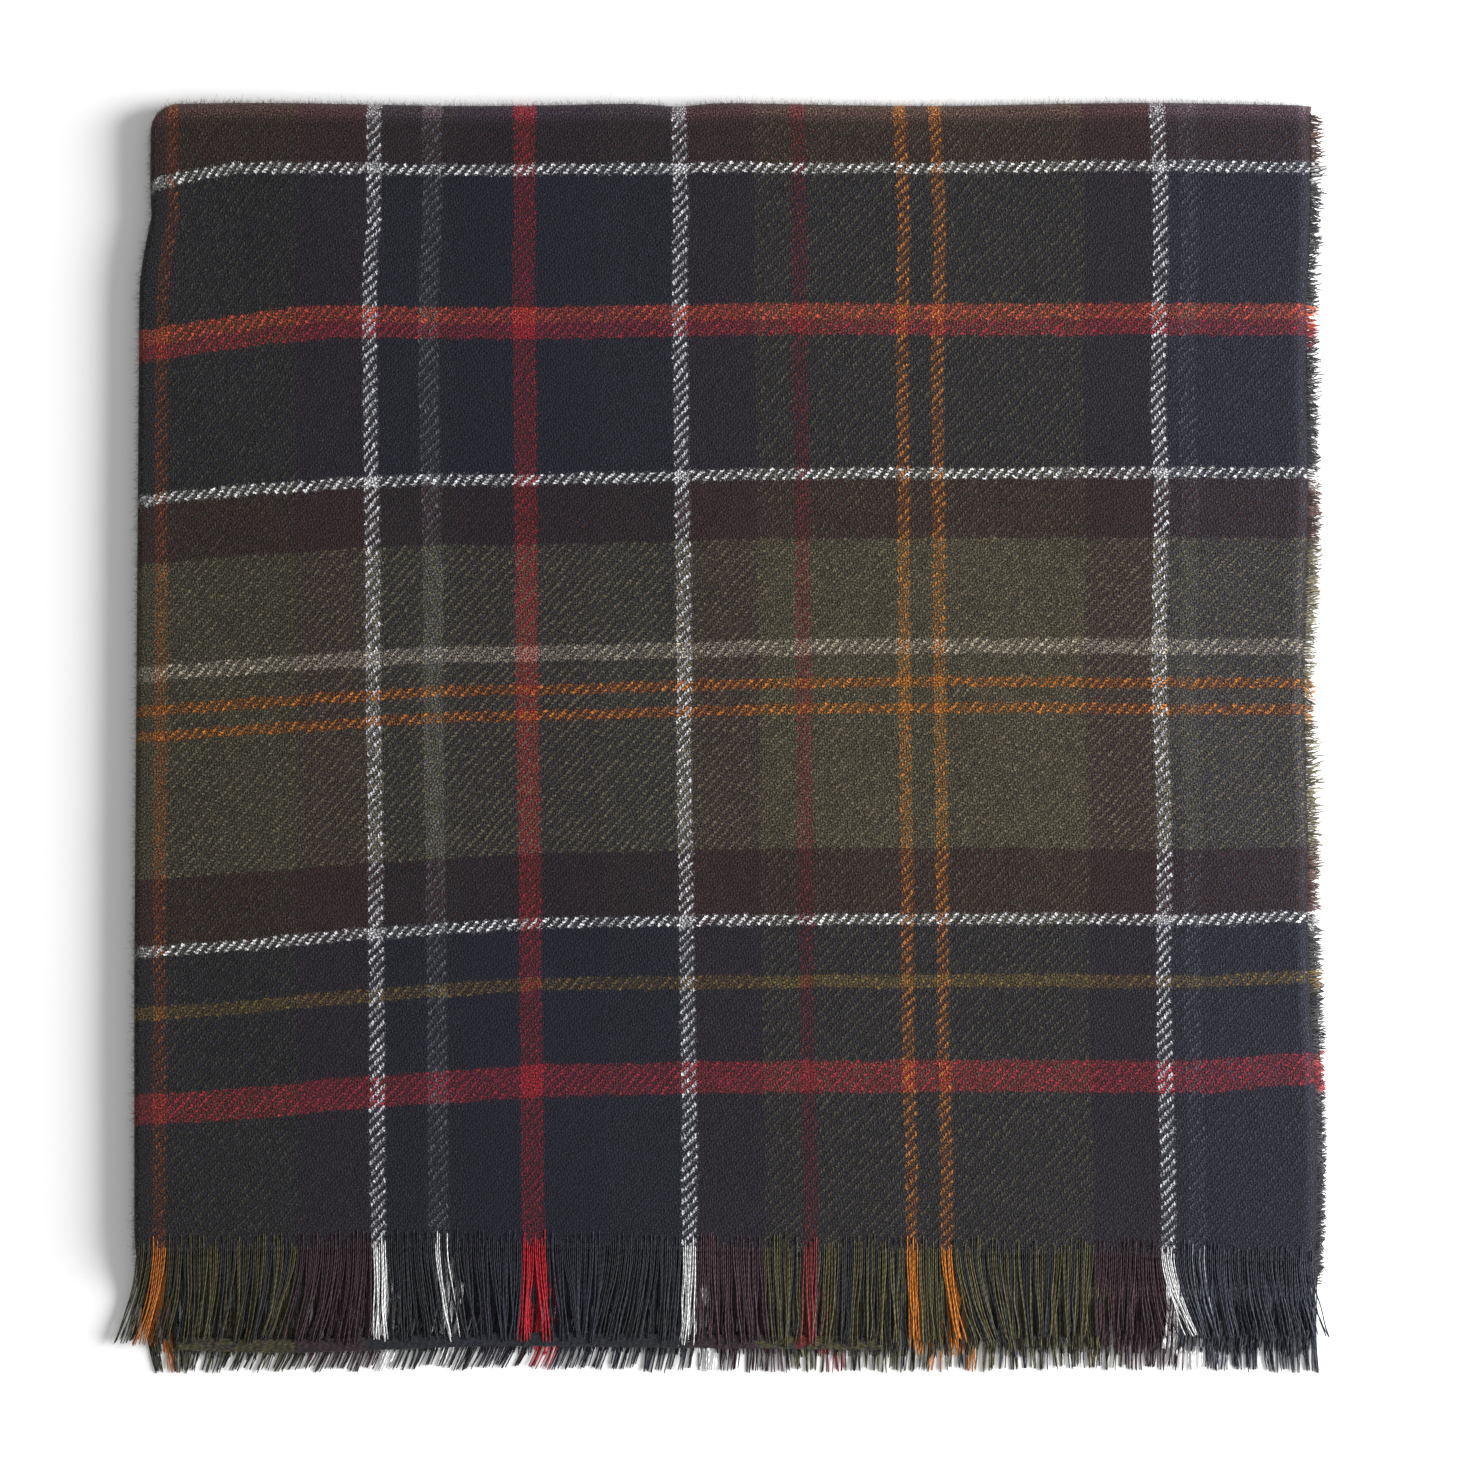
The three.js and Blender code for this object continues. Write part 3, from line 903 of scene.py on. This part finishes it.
def makeNap(half, material):
    # single fibres that stand off the two folds, where they show against the floor
    rng = np.random.default_rng(300 + half)
    way = 1 if half > 0 else -1
    reach = clothReach["up"] if way > 0 else clothReach["under"]
    alongSide = int(nap["perMetre"] * reach)
    alongTop = int(nap["perMetre"] * clothReach["across"])
    a = np.concatenate([rng.uniform(-0.4, 1.1, alongSide) * sideArc,
                        rng.uniform(0, clothReach["across"] - 3 * mm, alongTop)])
    b = np.concatenate([rng.uniform(0.01, 1, alongSide) * reach,
                        rng.uniform(0.03, 0.8, alongTop) * outerArc]) * way
    skin = np.full(len(a), stack["cloth"] / 2)
    base = lay(a, b, skin * 0.9)
    out = lay(a, b, skin * 1.1) - base
    out /= np.linalg.norm(out, axis=1, keepdims=True)
    stray = rng.normal(0, nap["stray"], (len(a), 3))
    length = rng.uniform(*nap["length"], (len(a), 1))
    t = np.linspace(0, 1, nap["steps"])[None, :, None]
    curl = rng.normal(0, nap["curl"], (len(a), 3))
    lines = base[:, None] + length[:, None] * (t * (out + stray * 0.8)[:, None] + t ** 2 * curl[:, None])
    lines[..., 2] = np.clip(lines[..., 2], 0.2 * mm, stack["height"] + 1.2 * mm)
    taper = np.linspace(1, 0.5, nap["steps"])[None, :]
    radii = nap["radius"] * taper * rng.uniform(0.7, 1.3, (len(a), 1))
    ends, picks = np.abs(threads(a, b)).T
    shades = []
    for end, pick in zip(ends, picks):
        fromWarp = rng.random() < 0.5
        name = yarnAt(warpSett, int(end)) if fromWarp else yarnAt(weftSett, int(pick))
        shade = freeShades[name]
        # painted highlight: the fibres are made lighter than their yarn, as fuzz that catches the light
        shades.append([*(min(0.5, level * 1.6 + 0.02) for level in shade[:3]), 1.0])
    shades = np.array(shades)
    name = "upper" if way > 0 else "lower"
    onFold = np.abs(b) < outerArc
    return [strands(f"{what}_{name}", lines[which], radii[which], shades[which], material, sides=3)
            for what, which in (("nap_fibres", ~onFold), ("fold_fibres", onFold))]


matted = {
    "picks": 9,
    "from": 24 * mm,              # across, from the lengthwise fold
    "to": 450 * mm,
    "steps": 260,
    "below": 49 * mm,             # past the woven end of the lower half
    "apart": 0.85 * mm,
    "rise": (3.8 * mm, 0.7 * mm),    # its height at its sides, and how much more in its middle
    "wander": 2.6 * mm,
}


def makeMattedEdge(material):
    # the last picks of the lower half, still held in its fringe
    rng = np.random.default_rng(400)
    count, steps = matted["picks"], matted["steps"]
    across = np.linspace(matted["from"], matted["to"], steps)[None, :]
    x = stack["leftEdge"] + across * np.ones((count, 1))
    row = np.arange(count)[:, None]
    middle = stack["bottomEnd"] - matted["below"]
    y = middle - (row - count / 2) * matted["apart"] + matted["wander"] * waves(x, x * 0, 401, 0.05, 0.22)
    y = y + 0.22 * mm * rng.normal(0, 0.6, (count, steps))
    low, more = matted["rise"]
    z = low + more * np.sin(np.pi * (row + 0.5) / count)
    z = z + 0.12 * mm * rng.normal(0, 0.6, (count, steps))
    lines = np.stack([x, y, z], axis=-1)
    radii = yarn["strand"] * rng.uniform(1.2, 1.8, (count, steps))
    shades = np.zeros((count, steps, 4))
    for step in range(steps):
        end = int((x[0, step] - stack["leftEdge"]) / yarn["pitch"])
        near = freeShades[yarnAt(warpSett, end)]
        for one in range(count):
            shade = near if rng.random() < 0.75 and max(near[:3]) < 0.2 else freeShades["bottle"]
            tone = rng.uniform(0.5, 1.4)
            shades[one, step] = [*(level * tone for level in shade[:3]), 1.0]
    return strands("matted_edge", lines, radii, shades, material)


looseYarn = yarnMaterial()
napFibres = {half: makeNap(half, looseYarn) for half in (1, -1)}
mattedEdge = makeMattedEdge(looseYarn)
print("nap raised")
endFringes = {layer: makeEndFringe(layer, looseYarn) for layer in (1, 2, 3, 4)}
print("end fringes combed out")
sideFringes = {layer: makeSideFringe(layer, looseYarn) for layer in (1, 2, 3, 4)}
print("side fringes combed out")

# what each piece stands for and rides on
bodyOf = {1: "lower_half", 2: "lower_half", 3: "upper_half", 4: "upper_half"}
for layer, piece in endFringes.items():
    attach(piece, bodyOf[layer])
    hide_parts(f"end_fringe_{layer}")
for layer, piece in sideFringes.items():
    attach(piece, bodyOf[layer])
    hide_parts(f"side_fringe_{layer}")
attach(mattedEdge, "lower_half")
for half, pieces in napFibres.items():
    for piece in pieces:
        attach(piece, "upper_half" if half > 0 else "lower_half")
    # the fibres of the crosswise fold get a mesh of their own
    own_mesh(pieces[1])
for layer in (3, 4):
    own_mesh(endFringes[layer])

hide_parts("panel_1_bottom", "panel_2_lower_inner", "panel_3_upper_inner", "panel_4_top",
            "side_fold_lower", "side_fold_upper", "outer_fold_lower", "outer_fold_upper",
            "inner_fold_lower", "inner_fold_upper", "corner_fold_lower", "corner_fold_upper")
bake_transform(cloth)
2 * clothReach["across"]
clothReach["up"] + clothReach["under"]

# floor, light and camera
studio = {
    "floor": 24.0,                # metres across
    "lampPower": 372,
    "lampAway": 3.4,              # metres from the throw
    "lampTilt": 69,               # degrees from straight above, to the right
    "lampSpread": 41,             # degrees across, as the throw sees it
    "sky": 0.48,
}


def makeFloor():
    half = studio["floor"] / 2
    corners = np.array([[-half, -half, 0], [half, -half, 0], [half, half, 0], [-half, half, 0]])
    floor = meshFrom("floor", corners - np.array([0, 0, 0.05 * mm]), [[0, 1, 2, 3]])
    material, make = newMaterial("pale floor")
    surface = make.node("ShaderNodeBsdfDiffuse", {}, {"Color": (0.9, 0.9, 0.9, 1.0)})
    make.node("ShaderNodeOutputMaterial", {}, {"Surface": surface})
    floor.data.materials.append(material)


def makeLights():
    tilt = math.radians(studio["lampTilt"])
    lamp = bpy.data.lights.new("broad lamp", "AREA")
    lamp.shape = "DISK"
    lamp.energy = studio["lampPower"]
    lamp.size = 2 * studio["lampAway"] * math.tan(math.radians(studio["lampSpread"] / 2))
    key = bpy.data.objects.new("broad lamp", lamp)
    key.location = (studio["lampAway"] * math.sin(tilt), 0, studio["lampAway"] * math.cos(tilt))
    key.rotation_euler = (0, tilt, 0)
    bpy.context.scene.collection.objects.link(key)
    world = bpy.data.worlds.new("studio")
    world.use_nodes = True
    world.node_tree.nodes["Background"].inputs["Color"].default_value = (1, 1, 1, 1)
    world.node_tree.nodes["Background"].inputs["Strength"].default_value = studio["sky"]
    bpy.context.scene.world = world


def makeCamera():
    lens = bpy.data.cameras.new("camera")
    lens.lens, lens.sensor_width = 100, 36
    seen = 0.876                  # metres across the view, at the top of the throw
    camera = bpy.data.objects.new("camera", lens)
    camera.location = (1.5 * mm, 2.7 * mm, stack["height"] + seen * lens.lens / lens.sensor_width)
    bpy.context.scene.collection.objects.link(camera)
    bpy.context.scene.camera = camera
    bpy.context.scene.view_settings.view_transform = "Standard"


makeFloor()
makeLights()
makeCamera()
